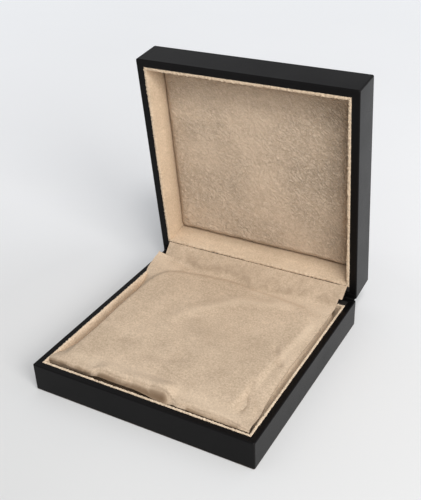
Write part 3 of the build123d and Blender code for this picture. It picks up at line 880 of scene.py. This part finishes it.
# Its two edges from the front to the back, and how far the left one has slumped, in millimetres.
left_edge_y = (-90, -85, -75, -62, -49, -32, -12, -1, 12, 28, 38, 46, 50, 55, 62, 70, 80, 88)
left_edge_x = (
    -92.1, -92.2, -92.2, -91.6, -90.2, -89.3, -89.6, -89.7, -90.0,
    -90.5, -90.9, -91.1, -91.5, -92.4, -94.8, -96, -97, -97,
)
left_edge_drop = (
    0.8, 1.2, 3.0, 7.0, 12.6, 15.6, 14.2, 13.7, 12.6,
    10.2, 8.2, 7.4, 6.2, 3.6, 0.2, -1.2, -2.6, -4.0,
)
right_edge_y = (-90, -84, -71, -60, -44, -11, 34, 78, 88)
right_edge_x = (91.4, 91.2, 90.4, 89.2, 87.8, 87.0, 88.4, 88.6, 88.4)
# Seen from above, the pad lifts the cloth inside this line.
raised_outline = (
    (-82, -110), (-83.4, -41), (-84.6, -10), (-84.4, 18), (-81.6, 45), (-78.7, 56), (-74.0, 65),
    (-62, 70), (-43, 72.4), (-23, 74), (-5, 75), (14, 72), (33, 69.5), (51, 68), (66, 65),
    (76, 56), (80.5, 45), (79.8, 30), (78, 14), (75.7, -8), (73.5, -27), (72.7, -46),
    (70, -62), (72, -110), (-82, -110),
)
# The front fold, from the left to the right. Each row holds X, the Y and Z of the fold's crest,
# how far it rolls forwards and down from there, and the Y and Z of the hem.
front_fold = np.array(
    (
        (-92, -85.5, 27.6, 3.2, 1.8, -88.5, 22.5),
        (-86, -85.5, 27.9, 3.4, 1.8, -88.5, 22.2),
        (-78, -85.5, 28.0, 3.4, 1.9, -88.5, 22.2),
        (-68, -86.0, 27.5, 3.4, 1.9, -88.5, 22.0),
        (-57, -86.0, 27.1, 3.2, 2.0, -88.3, 21.8),
        (-51, -85.0, 27.5, 3.0, 2.2, -87.5, 21.8),
        (-46, -82.2, 29.4, 2.8, 2.4, -88.6, 24.4),
        (-40, -81.0, 30.6, 3.0, 2.6, -89.4, 25.6),
        (-29, -81.6, 29.6, 3.0, 2.6, -89.6, 25.6),
        (-18, -81.2, 30.2, 3.0, 2.6, -89.6, 25.6),
        (-8, -80.8, 30.9, 3.0, 2.6, -89.6, 25.8),
        (2, -80.6, 31.1, 3.0, 2.6, -90.2, 24.9),
        (10, -80.6, 31.9, 3.0, 2.7, -90.8, 23.8),
        (16.5, -80.6, 32.0, 3.0, 2.7, -91.2, 23.6),
        (20, -81.4, 30.6, 3.2, 2.6, -91.4, 23.6),
        (24, -82.6, 27.4, 3.2, 2.0, -88.6, 22.4),
        (28, -84.5, 26.9, 3.2, 1.4, -91.0, 25.4),
        (33, -84.8, 26.8, 3.2, 1.3, -91.6, 25.8),
        (38, -84.0, 26.9, 3.2, 1.4, -90.6, 24.8),
        (42, -83.4, 27.0, 3.2, 1.6, -89.2, 22.6),
        (52, -83.6, 26.9, 3.2, 1.6, -88.8, 22.2),
        (66, -82.8, 27.0, 3.2, 1.6, -88.8, 22.2),
        (77, -84.0, 26.9, 3.2, 1.6, -89.6, 22.8),
        (86, -86.5, 26.7, 3.0, 1.2, -91.0, 24.6),
        (92, -88.0, 26.5, 2.6, 0.9, -91.6, 25.4),
    )
)
# Each rumple is a line seen from above, its width, its height and how dark it is painted, painted
# shade above 0 and painted light below.
rumples = (
    (((-28, 4), (-18, 21), (-5.5, 34), (10.5, 50.5), (31, 55), (50, 61)), 6, 0.6, -0.35),
    (((-14, 6), (8, 10), (30, 8), (46, 4)), 14, -0.7, 0.30),
    (((0, -6), (18, -9)), 9, -0.3, 0.25),
    (((-40, 7), (-38, 29)), 5, -0.35, 0.30),
    (((-50, -41), (-44, -41)), 6, -0.3, 0.25),
    (((-20, -52), (-8, -50), (6, -45)), 5, -0.5, 0.30),
    (((38, -45), (43, -38)), 7, -0.3, 0.20),
    (((50, -24), (54, -18)), 6, -0.25, 0.20),
    (((67, 4), (73, -6), (79, -13)), 2.8, -0.9, 0.40),
    (((70, -42), (73, -58), (76.5, -73)), 2.3, -0.9, 0.50),
    (((76.6, -55), (84, -64), (90, -71)), 2.0, -0.5, 0.25),
    (((20, 70), (45, 72), (66, 74), (80, 70)), 6, 0.3, -0.45),
    (((82, 55), (82, 35), (81, 10), (80, -10)), 4, 0.0, -0.35),
    (((-94, 84), (-86, 76), (-72, 74)), 6, 0.0, -0.40),
    (((-70, -77), (-45, -78), (-10, -74), (15, -77), (40, -80), (75, -84)), 6, 0.0, -0.35),
    (((-82, -66), (-83.5, -20), (-83, 20), (-79, 46), (-72, 62), (-62, 68)), 4, 0.0, 0.25),
    (((-43, -89.0), (-10, -88.8), (15, -88.6)), 4.2, 0.0, 2.0),
    (((19, -89.4), (22, -90)), 3.0, 0.0, 0.8),
    (((-91, -88.8), (-70, -88.8), (-52, -88.6)), 1.7, 0.0, 1.3),
    (((40, -90), (80, -91)), 2.6, 0.0, 2.0),
)


def from_line(x, y, line):
    """How far a place is from a line of points."""
    nearest = np.full_like(x, 1e9)
    for (ax, ay), (bx, by) in zip(line, line[1:]):
        along_x, along_y = bx - ax, by - ay
        t = np.clip(((x - ax) * along_x + (y - ay) * along_y) / (along_x**2 + along_y**2), 0, 1)
        nearest = np.minimum(nearest, np.hypot(x - ax - t * along_x, y - ay - t * along_y))
    return nearest


def nearness(x, y, line, width):
    """1 on a line of points, falling softly to 0 at about twice the width from it."""
    return np.exp(-((from_line(x, y, line) / width) ** 2))


def inside_outline(x, y):
    """How far a place lies inside the raised part of the flap, in millimetres."""
    inside = np.zeros(x.shape, bool)
    for (ax, ay), (bx, by) in zip(raised_outline, raised_outline[1:]):
        if ay != by:
            inside ^= ((ay > y) != (by > y)) & (x < ax + (y - ay) * (bx - ax) / (by - ay))
    nearest = from_line(x, y, raised_outline)
    return np.where(inside, nearest, -nearest)


def flap_level(x, y):
    """The height of the cloth over the pad, before its edges fall."""
    lowest, raised = 26.5, 2.1
    level = lowest + raised * gentle((inside_outline(x, y) + 4.0) / 7.5) + ramp(x, y)
    level = level + 0.40 * waves(x, y, 60.0, 11) + 0.20 * waves(x, y, 22.0, 3)
    rises = (1.3 * height * nearness(x, y, line, width) for line, width, height, _ in rumples)
    return level + sum(rises)


def flap_painted_light_and_shade(x, y):
    """The painted light and shade on the nap: painted light below 0 and painted shade above."""
    darker = (1.25 * dark * nearness(x, y, line, width) for line, width, _, dark in rumples)
    return painted_band_shade(x, y) + sum(darker)


def flap_shape(u, v):
    """The flap, u from its left edge to its right and v from its back edge to its front."""
    back, brink, left_brink, right_brink = 87.6, -70.0, -80.0, 80.0
    top_share, left_share = 0.86, 0.12
    y = back - (back - brink) * np.clip(v / top_share, 0, 1)
    # Beyond the top's share of v the cloth runs over the front fold.
    fall = np.clip((v - top_share) / (1 - top_share), 0, 1)
    beside = y - 17 * fall
    hem_x = eased(left_edge_y, left_edge_x, beside)
    drop = eased(left_edge_y, left_edge_drop, beside)
    right_x = eased(right_edge_y, right_edge_x, beside)
    # Within the left edge's share of u it bends round the pad's side and down to that edge.
    out = np.clip((left_share - u) / left_share, 0, 1)
    elbow = left_brink - 6.3
    x_left = (1 - out) ** 2 * left_brink + 2 * out * (1 - out) * elbow + out**2 * hem_x
    x_top = left_brink + (u - left_share) / (1 - left_share) * (right_x - left_brink)
    x = np.where(out > 0, x_left, x_top)
    level = flap_level(np.maximum(x, -86.0), y) - drop * (0.5 * out * (1 - out) + out**2)
    level = level - 0.9 * gentle((x - right_brink) / (right_x - right_brink)) ** 2
    sag = 0.5 * drop * out**2
    columns = (eased(front_fold[:, 0], column, x) for column in front_fold.T[1:])
    crest_y, crest_z, roll_y, roll_z, hem_y, hem_z = columns
    crest_z, hem_z = crest_z - sag, hem_z - sag
    # The front fold climbs to its crest, rolls over it and hangs down to the hem.
    crest_at, rolled_at = 0.45, 0.67
    over = np.clip(fall / crest_at, 0, 1)
    roll = np.clip((fall - crest_at) / (rolled_at - crest_at), 0, 1) * math.radians(96)
    hang = np.clip((fall - rolled_at) / (1 - rolled_at), 0, 1)
    y_over = brink + (crest_y - brink) * over
    z_over = level + (crest_z - level) * gentle(over)
    y_roll = crest_y - roll_y * np.sin(roll)
    z_roll = crest_z - roll_z * (1 - np.cos(roll))
    y_fold = np.where(roll > 0, y_roll + (hem_y - y_roll) * hang, y_over)
    z_fold = np.where(roll > 0, z_roll + (hem_z - z_roll) * hang, z_over)
    return np.stack([x, np.where(fall > 0, y_fold, y), np.where(fall > 0, z_fold, level)], 1)


flap = cloth_sheet("suede_flap", 190, 184, flap_shape, 0.0007, flap_painted_light_and_shade)
flap.data.materials.append(flap_suede)
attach(flap, "flap")
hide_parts("flap")
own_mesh(flap)
flap.select_set(False)
